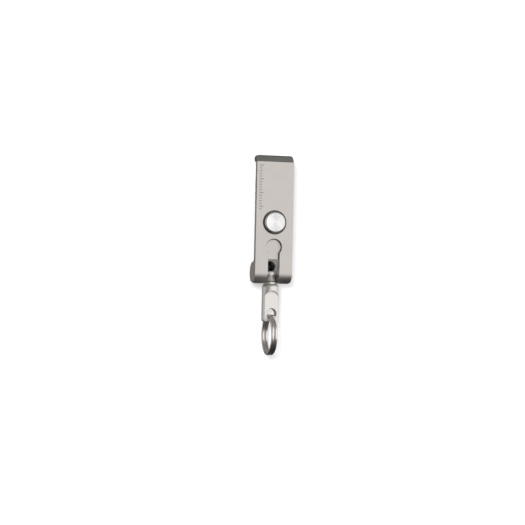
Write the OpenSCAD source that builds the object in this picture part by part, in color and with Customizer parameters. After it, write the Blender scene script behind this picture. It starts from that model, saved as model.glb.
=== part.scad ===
// Quick-release key clip: a belt clip with a push button, a keyhole lock and a swivel stud for a split ring.
// Millimetres. +Z is up, the front face looks towards -Y, and the stud and the ring hang straight down.
// Inside the modules, heights start at the lowest line of the knuckle and depths at the knuckle's axis.
// in_frame() then moves everything so that the origin is under the crown of the clip's bend.

/* [Front plate] */
// Width of the front plate, of the knuckle and of the top bar
plate_w = 14; // [13:0.1:14.5]
// Thickness of the front plate
plate_t = 2.2; // [2.2:0.1:2.5]
// Height of the front plate, from the knuckle's lowest line to the top bar
plate_h = 44.5; // [44:0.5:50]
// Diameter of the knuckle at the foot of the front plate
knuckle_d = 7.8; // [7.8:0.1:8.2]
// Radius of the corners of the front outline
corner_r = 1.1; // [0.8:0.1:1.4]

/* [Keyhole] */
// Width of the slot in which the stud swings
slot_w = 4.4; // [4.4:0.1:4.8]
// Diameter of the round part of the keyhole
keyhole_d = 6.1; // [6.1:0.1:6.4]
// Height of the centre of the round part
keyhole_z = 13.3; // [12.5:0.1:13.5]
// Depth of the tongue's face behind the front face
tongue_recess = 1.1; // [0.6:0.1:1.1]
// Gap all round the tongue
tongue_gap = 0.3; // [0.2:0.05:0.4]

/* [Push button] */
// Diameter of the hole in the front plate
button_hole_d = 8.9; // [8.6:0.1:9]
// Diameter of the button
button_d = 7.8; // [7.2:0.1:8]
// Height of the button's centre
button_z = 22.3; // [21.5:0.1:24]
// How far the button stands out of the front face
button_proud = 1.2; // [1:0.1:1.4]

/* [Clip] */
// Total height of the clip, up to the top of its bend
clip_h = 47; // [46.5:0.5:52.5]
// Width of the spring leg
leg_w = 10; // [9:0.2:10.2]
// Thickness of the spring leg
leg_t = 1.3; // [1.2:0.1:1.4]
// Diameter of the ceramic ball in the tip of the leg
ball_d = 4; // [3.8:0.1:4.2]
// Height of the ball
ball_z = 6.2; // [6.2:0.1:6.5]

/* [Stud and ring] */
// Diameter of the swivel barrel
barrel_d = 6.3; // [6.2:0.1:6.5]
// Distance from the knuckle's lowest line down to the barrel's end
barrel_drop = 13.9; // [13.6:0.1:16]
// Thickness of the barrel between its two flats
flat_t = 3.6; // [3.4:0.1:3.8]
// Diameter of the hole for the split ring
ring_hole_d = 3.9; // [3.9:0.1:4.1]
// Outer diameter of the split ring
ring_d = 15; // [14:0.5:20]
// Diameter of the ring's wire
wire_d = 1.24; // [1.1:0.02:1.26]

/* [Hidden] */

$fn = 96;
titanium = [0.76, 0.75, 0.73];
shadow_grey = [0.42, 0.42, 0.40];
polished = [0.93, 0.93, 0.92];
spring_steel = [0.62, 0.62, 0.64];
black = [0.06, 0.06, 0.07];
bronze = [0.72, 0.55, 0.32];

past = 1;                               // how far a cutter runs past what it cuts
knuckle_r = knuckle_d / 2;
face_y = -knuckle_r;                    // the front face
back_y = face_y + plate_t;              // the back of the front plate
half_w = plate_w / 2;

// The pocket behind the front plate, in which the latch lies
wall_t = 1.2;                           // front wall left over the pocket
pocket_y = face_y + wall_t;
pocket_w = 6.8;
pocket_top = plate_h - 0.4;
pad_d = 9.4;                            // round pad of the leaf behind the button
clamp_z = plate_h - 3;                  // lower edge of the clamp, where the leaf starts to bend
clamp_gap = 0.2;                        // room in front of the leaf's clamped end

// The cavity in the knuckle, behind the slot
cavity_w = 6.2;
cavity_back = 2.4;
cavity_floor = knuckle_r + 1;
cavity_top = 10.4;
boss_w = 8.4;
boss_top = 9.6;
boss_r = 1.6;
fillet_r = 1.5;
ball_y = 3.3;
ball_hole_d = ball_d + 0.6;

// The leaf, the tongue and the button
leaf_t = 0.6;
leaf_w = 6;
leaf_y = back_y - leaf_t;               // front of the leaf
leaf_foot = 8.9;
tongue_foot = 8.8;
rivet_d = 1;
rivet_rise = 2.4;
button_screw_d = 2;
button_screw_head = 3.6;
button_chamfer = 0.5;
button_h = leaf_y - face_y + button_proud;

// The top bar, its screws and the leg
bar_front = face_y + 0.6;
bar_slope = 1;
bar_back = 0.5;
flange_w = 11;
flange_t = 1.2;
screw_d = 1.6;
screw_head_d = 2.4;
screw_head_t = 0.9;
screw_x = 1.7;
screw_z = clamp_z + 1.5;
access_d = 2.8;
bend_out = 4.4;
bend_steps = 12;
bend_in = bend_out - leg_t;
bend_z = clip_h - bend_out;
leg_top_y = bar_back + bend_in;         // front of the leg under the bend
leg_tip_y = 4.15;                       // front of the leg at its tip
leg_knee_z = 11;
lip_z = 3.2;
lip_foot = 1;
lip_out = 1;

// The stud
collar_d = 3.9;
collar_foot = knuckle_r - 0.9;
collar_top = knuckle_r + 0.7;
collar_round = 0.7;
pin_d = 1.2;
pin_len = 5.8;
neck_d = 2.4;
neck_z = collar_foot - 0.35;
cone_d = 4;
cone_foot = 0.9;
shank_d = 2.6;
shank_foot = -2.9;
running_gap = 0.03;
washer_t = 0.28;
boss_z = 0.6;                           // top of the barrel's boss, under the washer
bush_d = 3.4;
bush_foot = -1.8;
groove_top = -2;
groove_foot = -2.5;
groove_d = 4.2;
snap_t = 0.4;
snap_d = 4.1;
snap_in = 2.1;
crown_top = -0.15;                      // the barrel's rounded crown, just clear of the knuckle
crown_foot = -1.6;
crown_d = 4.2;
crown_steps = 9;
flat_z = -2.8;                          // top of the arch in which each flat ends
flat_end_r = sqrt(pow(barrel_d, 2) - pow(flat_t, 2)) / 2 + 0.15;
ring_hole_z = -11;
foot_r = 1.2;

// The ring hangs with its two coils on the lower edge of the hole
wire_r = wire_d / 2;
coil_x = wire_r - 0.04;
coil_r = ring_d / 2 - wire_r;
ring_play = ring_hole_d / 2 - wire_r - 0.06;
ring_z = ring_hole_z - sqrt(pow(ring_play, 2) - pow(coil_x, 2)) - sqrt(pow(coil_r, 2) - pow(flat_t / 2, 2));

// The origin is in the middle of the belt gap, under the crown of the bend
origin_y = (back_y + leg_top_y) / 2;
origin_z = clip_h - leg_t;

module in_frame() translate([0, -origin_y, -origin_z]) children();

// A block given by its two corners
module block(low, high) translate(low) cube(high - low);

// A cylinder along X, centred on x = 0
module across(d, length, y, z) translate([-length / 2, y, z]) rotate([0, 90, 0]) cylinder(d = d, h = length);

// A cylinder along Y from depth y0 to depth y1
module drill(d, x, z, y0, y1) translate([x, y0, z]) rotate([-90, 0, 0]) cylinder(d = d, h = y1 - y0);

// What is cut away to round a lower corner (up = 1) or an upper corner (up = -1) of the front outline
module corner_cut(half, z, r, up) for (side = [-1, 1])
    difference() {
        block([side > 0 ? half - r : -half - past, -20, up > 0 ? z - past : z - r],
              [side > 0 ? half + past : -half + r, 20, up > 0 ? z + r : z + past]);
        drill(2 * r, side * (half - r), z + up * r, -21, 21);
    }

module plate_blank() {
    block([-half_w, face_y, knuckle_r], [half_w, back_y, plate_h]);
    across(knuckle_d, plate_w, 0, knuckle_r);
    // Concave fillet between the plate's back and the knuckle
    difference() {
        block([-half_w, back_y - 0.2, knuckle_r + 1], [half_w, back_y + fillet_r, knuckle_d + fillet_r]);
        across(2 * fillet_r, plate_w + 2 * past, back_y + fillet_r, knuckle_d + fillet_r);
        block([-half_w - past, 0, knuckle_d - 0.2], [half_w + past, 9, knuckle_d + 9]);
    }
    // Boss that closes the cavity from behind and takes the ball
    difference() {
        block([-boss_w / 2, cavity_back, knuckle_r], [boss_w / 2, knuckle_r, boss_top]);
        corner_cut(boss_w / 2, boss_top, boss_r, -1);
    }
}

module keyhole_cut() {
    drill(keyhole_d, 0, keyhole_z, face_y - past, back_y + past);
    block([-slot_w / 2, face_y - past, -past], [slot_w / 2, pocket_y + 0.5, keyhole_z]);
    block([-slot_w / 2, face_y - past, -past], [slot_w / 2, cavity_back, cavity_floor + 1.5]);
}

module cavity_cut() {
    block([-cavity_w / 2, pocket_y, cavity_floor], [cavity_w / 2, cavity_back, cavity_top]);
    block([-cavity_w / 2, -pin_d / 2 - 0.05, knuckle_r], [cavity_w / 2, pin_d / 2 + 0.05, cavity_floor + 0.1]);
    across(pin_d + 0.1, cavity_w, 0, knuckle_r);
}

module pocket_cut() {
    block([-pocket_w / 2, pocket_y, cavity_top - 2], [pocket_w / 2, back_y + past, clamp_z - 1]);
    block([-pocket_w / 2, leaf_y - clamp_gap, clamp_z - 2], [pocket_w / 2, back_y + past, pocket_top]);
    drill(pad_d + 0.8, 0, button_z, pocket_y, back_y + past);
}

module front_plate() color(titanium) in_frame() difference() {
    plate_blank();
    corner_cut(half_w, 0, corner_r, 1);
    drill(button_hole_d, 0, button_z, face_y - past, back_y + past);
    keyhole_cut();
    cavity_cut();
    pocket_cut();
    drill(ball_hole_d, 0, ball_z, cavity_back - past, knuckle_r + past);
    for (side = [-1, 1]) drill(screw_d, side * screw_x, screw_z, face_y + 0.4, back_y);
}

// Full-width bar over the plate's top edge, with a flange that is screwed to the plate's back
module top_bar() color(shadow_grey) in_frame() difference() {
    union() {
        translate([-half_w, 0, 0]) rotate([90, 0, 90]) linear_extrude(plate_w)
            polygon([[bar_front, plate_h], [bar_front + bar_slope, clip_h - 0.4],
                     [bar_front + bar_slope + 0.4, clip_h], [bar_back, clip_h],
                     [bar_back, clip_h - leg_t], [bar_back - 0.6, plate_h]]);
        block([-flange_w / 2, back_y, clamp_z], [flange_w / 2, back_y + flange_t, plate_h]);
    }
    corner_cut(half_w, clip_h, corner_r, -1);
    for (side = [-1, 1]) drill(screw_d, side * screw_x, screw_z, back_y - past, back_y + flange_t + past);
}

module bar_screws() color(spring_steel) in_frame() for (side = [-1, 1])
    difference() {
        union() {
            drill(screw_d, side * screw_x, screw_z, face_y + 0.5, back_y + flange_t);
            drill(screw_head_d, side * screw_x, screw_z, back_y + flange_t, back_y + flange_t + screw_head_t);
        }
        translate([side * screw_x, back_y + flange_t + screw_head_t - 0.5, screw_z])
            rotate([-90, 0, 0]) cylinder(d = 1.4, h = past, $fn = 6);
    }

// A quarter of a circle round the bend's centre, from angle a0 to angle a1
function bend_arc(r, a0, a1) = [for (i = [0:bend_steps])
    let (a = a0 + (a1 - a0) * i / bend_steps) [bar_back + r * cos(a), bend_z + r * sin(a)]];

// The leg's section: a quarter bend, a long straight, and a lip that turns away from the knuckle
module leg_section() polygon(concat(bend_arc(bend_in, 90, 0),
    [[leg_tip_y, leg_knee_z], [leg_tip_y, lip_z - 0.6], [leg_tip_y + lip_out, lip_foot - 0.4],
     [leg_tip_y + leg_t + lip_out, lip_foot], [leg_tip_y + leg_t, lip_z], [leg_tip_y + leg_t, leg_knee_z]],
    bend_arc(bend_out, 0, 90)));

module clip_leg() color(titanium) in_frame() difference() {
    translate([-leg_w / 2, 0, 0]) rotate([90, 0, 90]) linear_extrude(leg_w) leg_section();
    corner_cut(leg_w / 2, lip_foot - 0.4, 2, 1);
    for (side = [-1, 1]) drill(access_d, side * screw_x, screw_z, leg_top_y - 2, leg_top_y + 3);
    translate([0, ball_y, ball_z]) sphere(d = ball_d);
}

module clip_ball() color(black) in_frame() translate([0, ball_y, ball_z]) sphere(d = ball_d);

module latch_leaf() color(spring_steel) in_frame() difference() {
    union() {
        block([-leaf_w / 2, leaf_y, leaf_foot], [leaf_w / 2, back_y, pocket_top - 0.2]);
        drill(pad_d, 0, button_z, leaf_y, back_y);
    }
    for (side = [-1, 1]) drill(screw_d + 0.5, side * screw_x, screw_z, leaf_y - past, back_y + past);
    drill(button_screw_d, 0, button_z, leaf_y - past, back_y + past);
    for (rise = [0, rivet_rise]) drill(rivet_d, 0, keyhole_z - rise, leaf_y - past, back_y + past);
}

// Keyhole-shaped plug that fills the round part and the top of the slot
module latch_tongue() color(titanium) in_frame() difference() {
    union() {
        drill(keyhole_d - 2 * tongue_gap, 0, keyhole_z, face_y + tongue_recess, leaf_y);
        block([-slot_w / 2 + tongue_gap, face_y + tongue_recess, tongue_foot],
              [slot_w / 2 - tongue_gap, leaf_y, keyhole_z]);
    }
    for (rise = [0, rivet_rise]) drill(rivet_d, 0, keyhole_z - rise, face_y + tongue_recess + 0.3, leaf_y + past);
}

module tongue_rivets() color(spring_steel) in_frame() for (rise = [0, rivet_rise]) {
    drill(rivet_d, 0, keyhole_z - rise, face_y + tongue_recess + 0.3, back_y);
    drill(rivet_d + 0.8, 0, keyhole_z - rise, back_y, back_y + 0.3);
}

module button_cap() color(polished) in_frame() translate([0, leaf_y, button_z]) rotate([90, 0, 0])
    difference() {
        rotate_extrude() polygon([[0, 0], [button_d / 2, 0], [button_d / 2, button_h - button_chamfer],
                                  [button_d / 2 - button_chamfer, button_h], [0, button_h]]);
        translate([0, 0, -past]) cylinder(d = button_screw_d, h = past + 1.6);
    }

module button_screw() color(spring_steel) in_frame() difference() {
    union() {
        drill(button_screw_d, 0, button_z, leaf_y - 1.5, back_y);
        drill(button_screw_head, 0, button_z, back_y, back_y + 0.8);
    }
    translate([0, back_y + 0.35, button_z]) rotate([-90, 0, 0]) cylinder(d = 1.6, h = past, $fn = 6);
}

// Turned post: collar, neck, cone and the shank on which the barrel turns
module swivel_post() color(titanium) in_frame() difference() {
    rotate_extrude() {
        polygon([[0, collar_foot], [collar_d / 2 - 0.2, collar_foot], [collar_d / 2, collar_foot + 0.2],
                 [collar_d / 2, collar_top - collar_round], [0, collar_top - collar_round]]);
        translate([0, collar_top - collar_round]) square([collar_d / 2 - collar_round, collar_round]);
        intersection() {
            translate([collar_d / 2 - collar_round, collar_top - collar_round]) circle(r = collar_round);
            translate([0, collar_top - collar_round]) square([collar_d, collar_round]);
        }
        polygon([[0, shank_foot], [shank_d / 2 - 0.3, shank_foot], [shank_d / 2, shank_foot + 0.3],
                 [shank_d / 2, groove_foot], [snap_in / 2, groove_foot], [snap_in / 2, groove_top],
                 [shank_d / 2, groove_top], [shank_d / 2, cone_foot], [cone_d / 2, cone_foot],
                 [neck_d / 2, neck_z], [neck_d / 2, collar_foot], [0, collar_foot]]);
    }
    across(pin_d, collar_d + past, 0, knuckle_r);
}

module cross_pin() color(spring_steel) in_frame() across(pin_d, pin_len, 0, knuckle_r);

// A ring of rectangular section round the stud's axis
module sleeve(outer_d, foot, top) rotate_extrude()
    translate([shank_d / 2 + running_gap, foot]) square([(outer_d - shank_d) / 2 - running_gap, top - foot]);

module thrust_washer() color(black) in_frame() sleeve(cone_d, boss_z, boss_z + washer_t);

module swivel_bush() color(bronze) in_frame() sleeve(bush_d, bush_foot, boss_z);

// C-shaped ring that sits in the barrel's groove and closes round the post
module snap_ring() color(spring_steel) in_frame() translate([0, 0, (groove_top + groove_foot - snap_t) / 2])
    difference() {
        cylinder(d = snap_d, h = snap_t);
        translate([0, 0, -past]) cylinder(d = snap_in + 0.1, h = snap_t + 2 * past);
        block([-0.4, 0, -past], [0.4, snap_d, snap_t + past]);
    }

// A quarter of an ellipse, from the barrel's side in to its crown
function crown_arc() = [for (i = [0:crown_steps])
    let (a = 90 * i / crown_steps)
    [(crown_d + (barrel_d - crown_d) * cos(a)) / 2, crown_foot + (crown_top - crown_foot) * sin(a)]];

module barrel_blank() rotate_extrude()
    polygon(concat([[0, -barrel_drop], [barrel_d / 2, -barrel_drop]], crown_arc(),
                   [[cone_d / 2, crown_top], [cone_d / 2, boss_z], [0, boss_z]]));

// One milled flat: the end mill stops at the top and leaves its own round there
module flat_cut() {
    block([-barrel_d, -barrel_d, -barrel_drop - past], [barrel_d, -flat_t / 2, flat_z - flat_end_r]);
    drill(2 * flat_end_r, 0, flat_z - flat_end_r, -barrel_d, -flat_t / 2);
}

module swivel_barrel() color(titanium) in_frame() difference() {
    barrel_blank();
    translate([0, 0, bush_foot]) cylinder(d = bush_d, h = 3);
    translate([0, 0, groove_foot]) cylinder(d = shank_d + 0.2, h = 3);
    translate([0, 0, shank_foot - 0.3]) cylinder(d = shank_d + 0.2, h = 3);
    translate([0, 0, groove_foot]) cylinder(d = groove_d, h = groove_top - groove_foot);
    for (turn = [0, 180]) rotate([0, 0, turn]) flat_cut();
    corner_cut(barrel_d / 2, -barrel_drop, foot_r, 1);
    drill(ring_hole_d, 0, ring_hole_z, -barrel_d, barrel_d);
}

module split_ring() color(polished) in_frame() translate([0, 0, ring_z]) rotate([0, 90, 0])
    rotate_extrude() for (side = [-1, 1]) translate([coil_r, side * coil_x]) circle(d = wire_d, $fn = 32);

front_plate();
top_bar();
bar_screws();
clip_leg();
clip_ball();
latch_leaf();
latch_tongue();
tongue_rivets();
button_cap();
button_screw();
swivel_post();
cross_pin();
thrust_washer();
swivel_bush();
snap_ring();
swivel_barrel();
split_ring();
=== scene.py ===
# %% [markdown]
# # A quick-release key clip in bead-blasted titanium
#
# The clip hangs from a belt by its bent leg. A push button moves a tongue out of a keyhole, a stud swings
# in the slot under it, a barrel turns on the stud, and a split ring hangs in the barrel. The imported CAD
# model gives every size and place. This file gives the pieces their rounded edges, tool marks and metals.

# %% Load the frame
import math
import bpy
import bmesh
import numpy as np
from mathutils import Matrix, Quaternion, Vector


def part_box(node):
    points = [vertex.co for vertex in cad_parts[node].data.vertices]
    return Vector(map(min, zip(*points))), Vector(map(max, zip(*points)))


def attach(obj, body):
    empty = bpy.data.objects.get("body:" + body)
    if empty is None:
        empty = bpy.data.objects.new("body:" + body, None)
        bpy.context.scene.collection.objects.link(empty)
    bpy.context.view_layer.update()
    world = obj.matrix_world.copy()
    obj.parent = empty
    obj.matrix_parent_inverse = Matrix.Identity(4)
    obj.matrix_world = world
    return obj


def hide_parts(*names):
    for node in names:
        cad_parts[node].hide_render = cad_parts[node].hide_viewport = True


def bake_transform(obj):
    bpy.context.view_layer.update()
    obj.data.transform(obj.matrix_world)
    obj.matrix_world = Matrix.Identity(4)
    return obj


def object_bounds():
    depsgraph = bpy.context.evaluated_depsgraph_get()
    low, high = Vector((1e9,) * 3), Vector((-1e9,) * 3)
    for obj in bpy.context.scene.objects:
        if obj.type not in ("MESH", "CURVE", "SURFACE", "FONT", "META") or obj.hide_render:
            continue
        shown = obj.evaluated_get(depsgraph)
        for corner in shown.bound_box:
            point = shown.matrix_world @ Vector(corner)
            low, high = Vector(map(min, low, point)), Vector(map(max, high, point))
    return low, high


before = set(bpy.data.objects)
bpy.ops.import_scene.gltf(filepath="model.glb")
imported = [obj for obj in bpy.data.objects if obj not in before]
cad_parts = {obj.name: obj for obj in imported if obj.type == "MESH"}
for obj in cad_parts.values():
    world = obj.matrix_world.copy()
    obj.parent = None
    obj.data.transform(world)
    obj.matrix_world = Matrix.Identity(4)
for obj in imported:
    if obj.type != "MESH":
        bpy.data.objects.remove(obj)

MM = 0.001
CAD_LOW, CAD_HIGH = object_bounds()
print("CAD box, mm:", [round(v / MM, 2) for v in CAD_HIGH - CAD_LOW])

# %% [markdown]
# ## Places that the other cells use
#
# Each place is read from the box of a CAD node, so it stays right when the CAD changes. The front face is
# the lowest y of the plate.

# %% Read the places
PLATE_LOW, PLATE_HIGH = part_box("front_plate")
LEG_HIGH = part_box("clip_leg")[1]
BUTTON_LOW, BUTTON_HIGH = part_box("button_cap")
RING_LOW, RING_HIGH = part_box("split_ring")

FACE_Y = PLATE_LOW.y
BUTTON_CENTRE = (BUTTON_LOW + BUTTON_HIGH) / 2
RING_CENTRE = (RING_LOW + RING_HIGH) / 2
print("front face y, mm:", round(FACE_Y / MM, 2), " button:", [round(v / MM, 2) for v in BUTTON_CENTRE])

# %% [markdown]
# ## Shader maths in Python
#
# A material is a tree of nodes. Written out node by node it is hard to read, so a small class wraps one
# socket and overloads the arithmetic. `1 - mask * 0.3` then adds the Math nodes by itself. Any other node
# comes from `tree.add`, which takes the node's type, its settings and its inputs.

# %% The shader helper
class Val:
    """One output socket, with arithmetic that adds Math nodes."""

    def __init__(self, tree, socket):
        self.tree, self.socket = tree, socket

    def math(self, operation, *others):
        return self.tree.add("ShaderNodeMath", {"operation": operation}, *others)

    def __add__(self, other): return self.math("ADD", self, other)
    def __radd__(self, other): return self.math("ADD", other, self)
    def __sub__(self, other): return self.math("SUBTRACT", self, other)
    def __rsub__(self, other): return self.math("SUBTRACT", other, self)
    def __mul__(self, other): return self.math("MULTIPLY", self, other)
    def __rmul__(self, other): return self.math("MULTIPLY", other, self)
    def __pow__(self, other): return self.math("POWER", self, other)
    def __abs__(self): return self.math("ABSOLUTE", self)
    def __lt__(self, other): return self.math("LESS_THAN", self, other)
    def __gt__(self, other): return self.math("GREATER_THAN", self, other)


class Tree:
    """The node tree of one material, built from expressions."""

    def __init__(self, name):
        self.material = bpy.data.materials.new(name)
        self.material.use_nodes = True
        self.nodes, self.links = self.material.node_tree.nodes, self.material.node_tree.links
        self.shader = self.nodes["Principled BSDF"]
        self.output = self.nodes["Material Output"]

    def put(self, socket, value):
        """Sets a socket to a number or a colour, or links it to a Val."""
        if isinstance(value, Val):
            self.links.new(value.socket, socket)
        else:
            socket.default_value = value

    def add(self, kind, settings, *values, out=0, **named):
        """Adds a node. Settings come first, then inputs by place, then inputs by name."""
        node = self.nodes.new(kind)
        for key, value in settings.items():
            setattr(node, key, value)
        for socket, value in zip(node.inputs, values):
            self.put(socket, value)
        for key, value in named.items():
            self.put(node.inputs[key.replace("_", " ")], value)
        return Val(self, node.outputs[out])

    def spot(self):
        """The point on the surface in object coordinates, in metres."""
        return self.add("ShaderNodeTexCoord", {}, out=3)

    def xyz(self, vector):
        """Splits a vector into three values."""
        node = self.nodes.new("ShaderNodeSeparateXYZ")
        self.links.new(vector.socket, node.inputs[0])
        return [Val(self, out) for out in node.outputs]

    def noise(self, scale, detail=2.0, roughness=0.5, stretch=(1, 1, 1)):
        """Noise with a scale in cells per metre, stretched along the axes, from 0 to 1."""
        place = self.add("ShaderNodeMapping", {}, self.spot(), Scale=stretch)
        return self.add("ShaderNodeTexNoise", {}, Vector=place, Scale=scale, Detail=detail,
                        Roughness=roughness)

    def ramp(self, value, low, high, to_low=0.0, to_high=1.0):
        """Maps low..high to to_low..to_high, and holds the ends."""
        return self.add("ShaderNodeMapRange", {"clamp": True}, value, low, high, to_low, to_high)

    def mix(self, factor, a, b):
        """Mixes two colours."""
        node = self.nodes.new("ShaderNodeMix")
        node.data_type = "RGBA"
        for name, value in (("Factor_Float", factor), ("A_Color", a), ("B_Color", b)):
            self.put(next(s for s in node.inputs if s.identifier == name), value)
        return Val(self, next(s for s in node.outputs if s.identifier == "Result_Color"))

    def bump(self, height, strength, distance):
        """Turns a height from 0 to 1 into a normal; distance is in metres."""
        return self.add("ShaderNodeBump", {}, Strength=strength, Distance=distance, Height=height)

    def finish(self, **inputs):
        """Sets the Principled shader's sockets and gives the material back."""
        for key, value in inputs.items():
            self.put(self.shader.inputs[key.replace("_", " ")], value)
        return self.material


def rgba(r, g, b):
    return (r, g, b, 1.0)

# %% [markdown]
# ## Bead-blasted titanium
#
# Glass beads leave a skin of shallow dimples about a twentieth of a millimetre wide, so the metal is
# matt, warm grey and slightly cloudy. The cloudiness is slow noise in the colour and the roughness. The
# dimples are fast noise through a Bump node, because real dimples would need millions of faces. Two masks
# are worked out from the point's x, y and z: a laser-etched scale of ticks on the plate's face, and the
# cut pocket behind the slot, whose pale, almost non-metallic colour is painted light.

# %% Blasted titanium
BLASTED = rgba(0.66, 0.622, 0.588)
BLASTED_DARK = rgba(0.58, 0.547, 0.517)
ETCHED = rgba(0.44, 0.385, 0.34)
DIMPLE = 9000.0                       # cells per metre
CLOUD = 160.0
# Painted light: the pocket behind the slot is coloured pale, as if brightly lit.
POCKET_PAINTED_LIGHT = rgba(0.96, 0.94, 0.91)
SLOT_RIM = 0.5 * MM
POCKET_HALF = 3.5 * MM
POCKET_FLOOR = 3.2 * MM
TICK_PITCH = 1.0 * MM
TICK_THICK = 0.34 * MM
TICK_LEFT = 1.0 * MM                  # from the plate's left edge to the ticks
TICK_SHORT, TICK_LONG = 0.9 * MM, 1.5 * MM
TICK_TOP, TICK_FOOT = 1.6 * MM, 17.6 * MM


def blasted(tree, light=BLASTED, dark=BLASTED_DARK):
    """Cloudy colour, cloudy roughness and dimples, as values of one material."""
    cloud = tree.noise(CLOUD, detail=4.0, roughness=0.6)
    speck = tree.noise(DIMPLE / 2, detail=2.0)
    shade = tree.ramp(cloud, 0.32, 0.68) * 0.65 + tree.ramp(speck, 0.3, 0.7) * 0.35
    colour = tree.mix(shade, dark, light)
    rough = 0.40 + 0.10 * cloud + 0.06 * speck
    normal = tree.bump(tree.noise(DIMPLE, detail=3.0, roughness=0.7), 0.35, 0.02 * MM)
    return colour, rough, normal


def tick_mask(tree):
    """1 on the ticks: z repeats at the pitch, every fifth tick is longer, and x runs from the left edge."""
    x, y, z = tree.xyz(tree.spot())
    down = PLATE_HIGH.z - TICK_TOP - z
    step = tree.add("ShaderNodeMath", {"operation": "WRAP"}, down + TICK_THICK, TICK_PITCH, 0.0)
    fifth = tree.add("ShaderNodeMath", {"operation": "WRAP"}, down + TICK_THICK, 5 * TICK_PITCH, 0.0)
    along = x - (PLATE_LOW.x + TICK_LEFT)
    reach = TICK_SHORT + (TICK_LONG - TICK_SHORT) * (fifth < 2 * TICK_THICK)
    inside = (along > 0.0) * (along < reach) * (down > -TICK_THICK) * (down < TICK_FOOT - TICK_TOP)
    on_face = y < FACE_Y + 0.05 * MM
    return (step < TICK_THICK) * inside * on_face


def pocket_painted_light_mask(tree):
    """1 in the cut pocket behind the slot, where the beads don't reach.

    The pocket is painted pale and mostly matt as painted light, so that it reads as bright as a cut face lit
    from the front.
    """
    x, y, z = tree.xyz(tree.spot())
    deep = (y > FACE_Y + SLOT_RIM) * (y < PLATE_HIGH.y - 0.3 * MM)
    return deep * (abs(x) < POCKET_HALF) * (z > PLATE_LOW.z + POCKET_FLOOR) * (z < BUTTON_LOW.z - 1.0 * MM)


def plate_titanium():
    tree = Tree("plate_titanium")
    colour, rough, normal = blasted(tree)
    mask = tick_mask(tree)
    # The pocket's pale colour and low metalness are painted light.
    pocket_lit = pocket_painted_light_mask(tree)
    marked = tree.mix(mask, colour, ETCHED)
    return tree.finish(Base_Color=tree.mix(pocket_lit, marked, POCKET_PAINTED_LIGHT), Roughness=rough + mask * 0.15,
                       Metallic=1.0 - 0.9 * pocket_lit, Normal=normal)


def blasted_titanium(name="blasted_titanium", light=BLASTED, dark=BLASTED_DARK):
    tree = Tree(name)
    colour, rough, normal = blasted(tree, light, dark)
    return tree.finish(Base_Color=colour, Roughness=rough, Metallic=1.0, Normal=normal)


PLATE_TITANIUM = plate_titanium()
BLASTED_TITANIUM = blasted_titanium()
# Painted shade: the top bar is a darker copy of the blasted titanium, standing in for the shade on its
# upward-tilted face.
BAR_PAINTED_SHADE = blasted_titanium("bar_titanium_painted_shade", rgba(0.40, 0.395, 0.375), rgba(0.33, 0.325, 0.31))
# Painted light: the barrel is a lighter copy of the blasted titanium, so that its flat reads brighter than
# the plate.
BARREL_PAINTED_LIGHT = blasted_titanium("barrel_titanium_painted_light", rgba(0.86, 0.835, 0.80), rgba(0.78, 0.755, 0.72))
print("titanium finishes:", 3)

# %% [markdown]
# ## Rubbed edges
#
# Where a blasted edge rubs on cloth, the dimples wear away and the metal turns brighter and smoother.
# The Bevel modifier can give its new faces their own material, so the wear follows the edges exactly.

# %% Rubbed titanium
def rubbed_titanium():
    tree = Tree("rubbed_titanium")
    worn = tree.ramp(tree.noise(700.0, detail=3.0), 0.35, 0.65)
    colour = tree.mix(worn, rgba(0.58, 0.56, 0.535), rgba(0.70, 0.685, 0.66))
    normal = tree.bump(tree.noise(DIMPLE, detail=2.0), 0.15, 0.015 * MM)
    return tree.finish(Base_Color=colour, Roughness=0.40 - 0.10 * worn, Metallic=1.0, Normal=normal)


RUBBED = rubbed_titanium()

# %% [markdown]
# ## Turned, drawn and rolled metals
#
# A lathe leaves fine rings round the axis, drawn wire has streaks along its length, and rolled spring
# steel has streaks along the strip. All three are one recipe: noise that is stretched along the marks
# and squeezed across them, in the roughness and in a slight bump.

# %% Worked metals
def worked(name, light, dark, rough, stretch, scale=900.0, depth=0.004 * MM):
    """Metal with streaks: noise of the given scale, stretched along the axis whose factor is small."""
    tree = Tree(name)
    streak = tree.noise(scale, detail=3.0, stretch=stretch)
    smear = tree.noise(250.0, detail=2.0)
    colour = tree.mix(tree.ramp(streak, 0.3, 0.7), dark, light)
    normal = tree.bump(streak, 0.3, depth)
    return tree.finish(Base_Color=colour, Roughness=rough + 0.10 * streak + 0.05 * smear,
                       Metallic=1.0, Normal=normal)


def lathe_rings(tree, across, along, pitch):
    """A wave of the given pitch along the radius, from the two coordinates across the axis."""
    radius = (across * across + along * along) ** 0.5
    return tree.add("ShaderNodeMath", {"operation": "SINE"}, radius * (2 * math.pi / pitch)) * 0.5 + 0.5


TURNED_TITANIUM = worked("turned_titanium", rgba(0.90, 0.88, 0.85), rgba(0.82, 0.80, 0.77), 0.42, (1, 1, 14))
SPRING_STEEL = worked("spring_steel", rgba(0.17, 0.16, 0.15), rgba(0.09, 0.08, 0.085), 0.30, (12, 12, 1))
RING_STEEL = worked("ring_steel", rgba(0.86, 0.81, 0.77), rgba(0.76, 0.71, 0.67), 0.24, (10, 1, 1),
                    depth=0.001 * MM)
BRIGHT_STEEL = worked("bright_steel", rgba(0.72, 0.72, 0.73), rgba(0.62, 0.62, 0.63), 0.20, (1, 8, 1))
BRONZE = worked("bronze", rgba(0.72, 0.50, 0.27), rgba(0.60, 0.40, 0.20), 0.32, (1, 1, 10))

# %% [markdown]
# ## The button's turned face
#
# A face-turned disc shows bright and dark wedges that meet at its centre, because every groove is a ring
# and catches the light only where the ring turns towards it. The grooves themselves are made further on,
# as geometry. The finish adds what the cutter's feed leaves between them, and a few fine scuffs.

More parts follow.
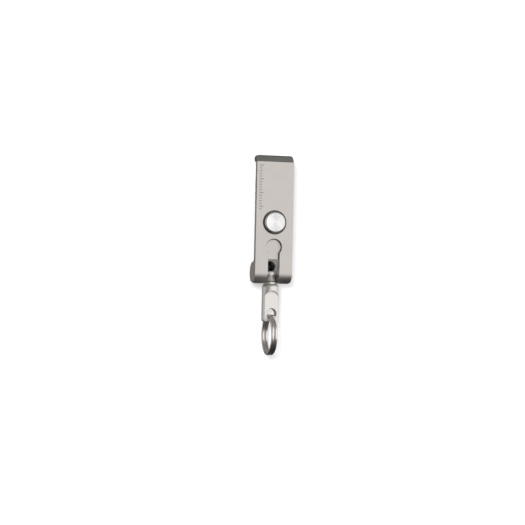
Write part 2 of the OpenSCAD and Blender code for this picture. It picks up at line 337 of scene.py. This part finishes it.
# %% Turned steel
def turned_steel():
    tree = Tree("turned_steel")
    x, y, z = tree.xyz(tree.spot())
    rings = lathe_rings(tree, x - BUTTON_CENTRE.x, z - BUTTON_CENTRE.z, 0.05 * MM)
    scuff = tree.ramp(tree.noise(1500.0, detail=3.0, stretch=(1, 1, 0.15)), 0.62, 0.70)
    colour = tree.mix(scuff, rgba(0.84, 0.83, 0.82), rgba(0.78, 0.77, 0.76))
    return tree.finish(Base_Color=colour, Roughness=0.27 + 0.02 * rings + 0.03 * scuff, Metallic=1.0)


TURNED_STEEL = turned_steel()

# %% [markdown]
# ## Black ceramic and bearing polymer
#
# The ball in the leg's tip is polished ceramic: almost black, very smooth, with a clear coat of light on
# it. Slow noise in the roughness keeps the highlight from being perfect. The thrust washer is a filled
# polymer, dark and matt with a fine speckle.

# %% Ceramic and polymer
def black_ceramic():
    tree = Tree("black_ceramic")
    haze = tree.noise(900.0, detail=2.0)
    colour = tree.mix(haze, rgba(0.003, 0.004, 0.006), rgba(0.008, 0.009, 0.013))
    return tree.finish(Base_Color=colour, Roughness=0.05 + 0.07 * haze, Coat_Weight=0.05, IOR=1.3)


def black_polymer():
    tree = Tree("black_polymer")
    speck = tree.noise(6000.0, detail=2.0)
    colour = tree.mix(tree.ramp(speck, 0.55, 0.7), rgba(0.018, 0.018, 0.02), rgba(0.05, 0.05, 0.055))
    normal = tree.bump(speck, 0.3, 0.01 * MM)
    return tree.finish(Base_Color=colour, Roughness=0.45 + 0.2 * speck, Normal=normal)


BLACK_CERAMIC = black_ceramic()
BLACK_POLYMER = black_polymer()

# %% [markdown]
# ## Softened edges
#
# No machined part has a razor edge: it is deburred, and the tiny round catches a line of light. A copy of
# a CAD node is merged, its flat triangles are joined, and a Bevel modifier rounds every edge that is
# sharper than a set angle. The faces keep the CAD's places, so every fit stays as it was.

# %% Copy a CAD node and round its edges
SAME_POINT = 0.002 * MM
FLAT_ANGLE = math.radians(0.5)        # triangles that turn less than this are one flat face
SHARP_ANGLE = math.radians(32.0)      # edges that turn more than this are rounded


def softened_copy(node, finish, edge, wear=None, steps=3):
    """A copy of a CAD node with edges rounded by edge metres, on no body yet."""
    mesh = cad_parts[node].data.copy()
    shape = bmesh.new()
    shape.from_mesh(mesh)
    bmesh.ops.remove_doubles(shape, verts=shape.verts, dist=SAME_POINT)
    bmesh.ops.dissolve_limit(shape, angle_limit=FLAT_ANGLE, verts=shape.verts, edges=shape.edges)
    for face in shape.faces:
        face.smooth = True
    shape.to_mesh(mesh)
    shape.free()
    mesh.name = node + "_finished"
    mesh.materials.clear()
    mesh.materials.append(finish)
    mesh.materials.append(wear or finish)
    mesh.polygons.foreach_set("material_index", np.zeros(len(mesh.polygons), np.int32))
    piece = bpy.data.objects.new(node + "_finished", mesh)
    bpy.context.scene.collection.objects.link(piece)
    bevel = piece.modifiers.new("deburred", "BEVEL")
    bevel.width = edge
    bevel.segments = steps
    bevel.limit_method = "ANGLE"
    bevel.angle_limit = SHARP_ANGLE
    bevel.use_clamp_overlap = True
    bevel.miter_outer = "MITER_ARC"
    bevel.material = 1
    flat = piece.modifiers.new("flat_faces", "WEIGHTED_NORMAL")
    flat.mode = "FACE_AREA"
    flat.weight = 100
    return piece


def softened(node, body, finish, edge, wear=None, steps=3):
    """A copy with rounded edges that rides on the body in place of the node."""
    piece = softened_copy(node, finish, edge, wear, steps)
    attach(piece, body)
    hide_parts(node)
    return piece


softened("front_plate", "clip", PLATE_TITANIUM, 0.12 * MM, RUBBED)
softened("top_bar", "clip", BAR_PAINTED_SHADE, 0.16 * MM)
softened("latch_tongue", "latch", BLASTED_TITANIUM, 0.06 * MM, RUBBED)
softened("swivel_barrel", "barrel", BARREL_PAINTED_LIGHT, 0.12 * MM, RUBBED)
softened("bar_screws", "clip", BRIGHT_STEEL, 0.12 * MM)
softened("button_screw", "latch", BRIGHT_STEEL, 0.12 * MM)
softened("tongue_rivets", "latch", SPRING_STEEL, 0.10 * MM)
softened("latch_leaf", "latch", SPRING_STEEL, 0.08 * MM, steps=2)
softened("cross_pin", "stud", BRIGHT_STEEL, 0.12 * MM)
softened("thrust_washer", "barrel", BLACK_POLYMER, 0.05 * MM, steps=2)
softened("swivel_bush", "barrel", BRONZE, 0.05 * MM, steps=2)
softened("snap_ring", "barrel", SPRING_STEEL, 0.05 * MM, steps=2)

# %% [markdown]
# ## The spring leg
#
# The leg and the top bar are one bent strip on the real clip. When the leg is pulled open the strip bends
# at its crown. Here the leg is a copy of its CAD node with rounded edges, with its modifiers applied and its
# place baked into its points; it is put on no body.


def freeze(piece):
    """Swaps the mesh for what its modifiers make of it."""
    seen = piece.evaluated_get(bpy.context.evaluated_depsgraph_get())
    mesh = bpy.data.meshes.new_from_object(seen)
    piece.modifiers.clear()
    piece.data = mesh


leg = softened_copy("clip_leg", BLASTED_TITANIUM, 0.18 * MM, RUBBED)
freeze(leg)
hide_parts("clip_leg")
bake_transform(leg)
print("leg faces:", len(leg.data.polygons))

# %% [markdown]
# ## Surfaces of revolution
#
# The button is a turned part: a profile of radius against height, carried round an axis. As arrays:
# x = radius * cos(angle), y = -height, z = radius * sin(angle), for every pair of profile point and angle
# at once.

# %% Lathe function
def grid_faces(rows, columns):
    """Four-cornered faces of a grid whose columns close on themselves."""
    row, column = np.meshgrid(np.arange(rows - 1), np.arange(columns), indexing="ij")
    after = (column + 1) % columns
    corners = [row * columns + column, row * columns + after, (row + 1) * columns + after,
               (row + 1) * columns + column]
    return np.stack(corners, axis=-1).reshape(-1, 4)


def new_piece(name, points, faces, body, finish):
    """A mesh from arrays, with outward faces, riding on a body."""
    mesh = bpy.data.meshes.new(name)
    mesh.from_pydata(points.tolist(), [], [list(face) for face in faces])
    shape = bmesh.new()
    shape.from_mesh(mesh)
    bmesh.ops.remove_doubles(shape, verts=shape.verts, dist=0.0005 * MM)
    bmesh.ops.recalc_face_normals(shape, faces=shape.faces)
    shape.to_mesh(mesh)
    shape.free()
    mesh.polygons.foreach_set("use_smooth", np.ones(len(mesh.polygons), bool))
    mesh.materials.append(finish)
    piece = bpy.data.objects.new(name, mesh)
    bpy.context.scene.collection.objects.link(piece)
    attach(piece, body)
    return piece


def lathe(profile, centre, turns):
    """Points and faces of a turned solid: radius * (cos, sin) across the y axis, and height towards -y."""
    radius, height = np.array(profile, float).T
    angle = np.linspace(0, 2 * math.pi, turns, endpoint=False)
    across_a = radius[:, None] * np.cos(angle)
    across_b = radius[:, None] * np.sin(angle)
    along = np.repeat(height[:, None], turns, axis=1)
    points = np.stack([across_a, -along, across_b], axis=-1).reshape(-1, 3) + np.array(centre)
    return points, grid_faces(len(radius), turns)

# %% [markdown]
# ## The button
#
# Its face carries real turned grooves: the profile rises and falls by a few thousandths of a millimetre
# every tenth. They are far too fine to see one by one, but together they draw the bright and dark wedges
# that a turned face shows, from every side.

# %% Button with a grooved face
GROOVE_PITCH = 0.14 * MM
GROOVE_DEPTH = 0.020 * MM
FACE_DISH = 0.12 * MM
BUTTON_CHAMFER = 0.5 * MM
BUTTON_R = (BUTTON_HIGH.x - BUTTON_LOW.x) / 2
BUTTON_DEEP = BUTTON_HIGH.y - BUTTON_LOW.y
STEM_HOLE_R = 1.0 * MM
STEM_HOLE_DEEP = 1.6 * MM


def button_profile():
    """Heights run from the back of the button (0) to its face; the face is a fine wave over the radius."""
    flat_r = BUTTON_R - BUTTON_CHAMFER
    waves = round(flat_r / GROOVE_PITCH)
    radius = np.linspace(flat_r, 0.0, waves * 6 + 1)
    face = BUTTON_DEEP - GROOVE_DEPTH * (0.5 - 0.5 * np.cos(2 * math.pi * waves * radius / flat_r))
    face = face - FACE_DISH * (1 - (radius / flat_r) ** 2)
    rim = [(0.0, STEM_HOLE_DEEP), (STEM_HOLE_R, STEM_HOLE_DEEP), (STEM_HOLE_R, 0.0),
           (BUTTON_R - 0.1 * MM, 0.0), (BUTTON_R, 0.1 * MM), (BUTTON_R, BUTTON_DEEP - BUTTON_CHAMFER)]
    return rim + list(zip(radius, face))


base = (BUTTON_CENTRE.x, BUTTON_HIGH.y, BUTTON_CENTRE.z)
points, faces = lathe(button_profile(), base, turns=144)
button = new_piece("button_turned", points, faces, "latch", TURNED_STEEL)
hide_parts("button_cap")
print("button faces:", len(faces))

# %% [markdown]
# ## The split ring
#
# A split ring is one wire wound twice and pressed flat. The path is a circle whose place along the axis
# steps from one coil to the next over a short stretch, and the section is a circle, slightly flattened
# where the coils touch. At both ends the wire is cut square.

# %% Ring of two coils
COIL_STEP_FROM, COIL_STEP_TO = 0.42, 0.58     # share of the path over which the wire crosses over
RING_STEPS, RING_SIDES = 320, 20
END_GAP = math.radians(7.0)
END_ANGLE = math.radians(117.0)               # where the wire's ends lie round the ring
COIL_SHARE = 0.985                            # the wire's width as a share of half the ring's width
FLATTEN_ACROSS, FLATTEN_ALONG = 0.75, 0.80    # powers below 1 make the round section squarer


def smooth_step(t):
    t = np.clip(t, 0.0, 1.0)
    return t * t * (3 - 2 * t)


def ring_mesh():
    """Tube round a double circle: the centre line is coil radius * (cos, sin), and x steps between coils."""
    half = (RING_HIGH.x - RING_LOW.x) / 4
    outer = (RING_HIGH.y - RING_LOW.y) / 2
    share = np.linspace(0.0, 1.0, RING_STEPS)
    turn = END_ANGLE + END_GAP / 2 + share * (4 * math.pi - END_GAP)
    centre_x = -half + 2 * half * smooth_step((share - COIL_STEP_FROM) / (COIL_STEP_TO - COIL_STEP_FROM))
    side = np.linspace(0, 2 * math.pi, RING_SIDES, endpoint=False)
    wire = half * COIL_SHARE
    bulge = wire * np.sign(np.cos(side)) * np.abs(np.cos(side)) ** FLATTEN_ACROSS
    rise = wire * np.sign(np.sin(side)) * np.abs(np.sin(side)) ** FLATTEN_ALONG
    radius = outer - wire + rise[None, :]
    x = centre_x[:, None] + bulge[None, :]
    y = radius * np.cos(turn)[:, None]
    z = radius * np.sin(turn)[:, None]
    points = np.stack([x, y, z], axis=-1).reshape(-1, 3) + np.array(RING_CENTRE)
    faces = [list(face) for face in grid_faces(RING_STEPS, RING_SIDES)]
    faces.append(list(range(RING_SIDES)))
    faces.append(list(range((RING_STEPS - 1) * RING_SIDES, RING_STEPS * RING_SIDES)))
    return points, faces


points, faces = ring_mesh()
ring = new_piece("ring_wound", points, faces, "ring", RING_STEEL)
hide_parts("split_ring")
print("ring faces:", len(faces))

# %% [markdown]
# ## CAD nodes that keep their own mesh
#
# The ball and the post are already right in shape. They only get a finish.

# %% Finishes on kept nodes
def finish_node(node, finish):
    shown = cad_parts[node]
    shown.data.materials.clear()
    shown.data.materials.append(finish)


finish_node("clip_ball", BLACK_CERAMIC)
finish_node("swivel_post", TURNED_TITANIUM)

# %% [markdown]
# ## The studio
#
# The clip hangs a few millimetres in front of a white board, which takes its soft shadow. The board is
# only there for the camera: it stays out of the metal's reflections, it blocks no light, and from behind
# it is clear, so that the back of the clip can be looked at too.

# %% White board
BOARD_Y = LEG_HIGH.y + 7 * MM
BOARD_HALF = 0.6


def board_white():
    """Matt white that glows a little, and lets the view through from behind."""
    tree = Tree("board_white")
    paper = tree.mix(tree.noise(60.0), rgba(0.90, 0.90, 0.90), rgba(0.92, 0.92, 0.92))
    tree.finish(Base_Color=paper, Roughness=0.9, Emission_Color=rgba(1, 1, 1), Emission_Strength=0.25)
    behind = tree.add("ShaderNodeNewGeometry", {}, out=6)
    clear = tree.nodes.new("ShaderNodeBsdfTransparent")
    blend = tree.nodes.new("ShaderNodeMixShader")
    tree.put(blend.inputs[0], behind)
    tree.links.new(tree.shader.outputs[0], blend.inputs[1])
    tree.links.new(clear.outputs[0], blend.inputs[2])
    tree.links.new(blend.outputs[0], tree.output.inputs["Surface"])
    return tree.material


def make_board():
    side = np.array([[-1, -1], [1, -1], [1, 1], [-1, 1]]) * BOARD_HALF
    corners = np.column_stack([side[:, 0], np.full(4, BOARD_Y), side[:, 1]])
    mesh = bpy.data.meshes.new("board")
    mesh.from_pydata(corners.tolist(), [], [[0, 1, 2, 3]])
    mesh.materials.append(board_white())
    board = bpy.data.objects.new("board", mesh)
    bpy.context.scene.collection.objects.link(board)
    board.visible_glossy = False
    board.visible_diffuse = False
    board.visible_shadow = False
    return board


BOARD = make_board()

# %% [markdown]
# ## Light
#
# Metal shows what is round it, so the lights are placed by what each face should mirror. The flat front
# looks at the key, a large softbox in front and to the right. The rounded foot looks down into a dark
# floor, and the top edge up into a dim ceiling. A fill on the left lights the edge of the barrel, and one
# behind lights the back. The shadow on the board has a small lamp of its own, linked to the board alone.

# %% Softboxes
SUBJECT = (CAD_LOW + CAD_HIGH) / 2
LAMP_DISTANCE = 0.7


def softbox(name, azimuth, elevation, width, height, radiance):
    """A rectangular light that looks at the clip; angles in degrees, width and height in metres."""
    a, e = math.radians(azimuth), math.radians(elevation)
    away = Vector((math.sin(a) * math.cos(e), -math.cos(a) * math.cos(e), math.sin(e)))
    data = bpy.data.lights.new(name, "AREA")
    data.shape = "RECTANGLE"
    data.size, data.size_y = width, height
    data.energy = radiance * math.pi * width * height
    light = bpy.data.objects.new(name, data)
    light.location = SUBJECT + away * LAMP_DISTANCE
    light.rotation_mode = "QUATERNION"
    light.rotation_quaternion = away.to_track_quat("Z", "Y")
    light.visible_camera = False
    bpy.context.scene.collection.objects.link(light)
    return light


softbox("key", 20.0, 5.0, 1.26, 0.85, 1.05)
softbox("right_fill", 92.0, 5.0, 0.74, 0.9, 0.65)
softbox("left_fill", -105.0, 5.0, 0.7, 0.9, 0.5)
softbox("back_fill", 145.0, 15.0, 0.7, 0.8, 0.6)
shadow_lamp = softbox("shadow_lamp", -20.0, 5.0, 0.13, 0.13, 56.0)
board_only = bpy.data.collections.new("board_only")
board_only.objects.link(BOARD)
shadow_lamp.light_linking.receiver_collection = board_only

# %% Studio air
AIR_UP, AIR_DOWN = 0.20, 0.02


def studio_air():
    """Light from all round: even above the horizon, fading to dark below, and white to the camera."""
    world = bpy.data.worlds.new("studio")
    world.use_nodes = True
    nodes, links = world.node_tree.nodes, world.node_tree.links
    place = nodes.new("ShaderNodeTexCoord")
    split = nodes.new("ShaderNodeSeparateXYZ")
    fade = nodes.new("ShaderNodeMapRange")
    seen = nodes.new("ShaderNodeLightPath")
    level = nodes.new("ShaderNodeMix")
    fade.inputs["From Min"].default_value, fade.inputs["From Max"].default_value = -0.8, 0.0
    fade.inputs["To Min"].default_value, fade.inputs["To Max"].default_value = AIR_DOWN, AIR_UP
    links.new(place.outputs["Generated"], split.inputs[0])
    links.new(split.outputs["Z"], fade.inputs["Value"])
    links.new(seen.outputs["Is Camera Ray"], level.inputs[0])
    links.new(fade.outputs[0], level.inputs[2])
    level.inputs[3].default_value = 1.0
    links.new(level.outputs[0], nodes["Background"].inputs["Strength"])
    nodes["Background"].inputs["Color"].default_value = rgba(1, 1, 1)
    bpy.context.scene.world = world


studio_air()

# %% [markdown]
# ## Camera
#
# A long lens from far away flattens perspective, so the plate's sides stay parallel. The camera stands a
# little to the left and a little below, and leans by about a degree.

# %% Camera
CAMERA_AZIMUTH, CAMERA_ELEVATION, CAMERA_ROLL = -15.1, -2.0, 1.22
CAMERA_DISTANCE = 0.80
CAMERA_AIM = Vector((-2.98, 0.0, -38.02)) * MM
CAMERA_LENS = 149.4


def make_camera():
    """The camera looks at its aim from the given angles, turned by its roll about the line of sight."""
    a, e = math.radians(CAMERA_AZIMUTH), math.radians(CAMERA_ELEVATION)
    back = Vector((math.sin(a) * math.cos(e), -math.cos(a) * math.cos(e), math.sin(e)))
    data = bpy.data.cameras.new("camera")
    data.lens = CAMERA_LENS
    data.clip_start, data.clip_end = 0.01, 10.0
    camera = bpy.data.objects.new("camera", data)
    camera.location = CAMERA_AIM + back * CAMERA_DISTANCE
    camera.rotation_mode = "QUATERNION"
    roll = Quaternion((0, 0, 1), math.radians(CAMERA_ROLL))
    camera.rotation_quaternion = back.to_track_quat("Z", "Y") @ roll
    bpy.context.scene.collection.objects.link(camera)
    bpy.context.scene.camera = camera


make_camera()
bpy.context.scene.view_settings.view_transform = "Standard"
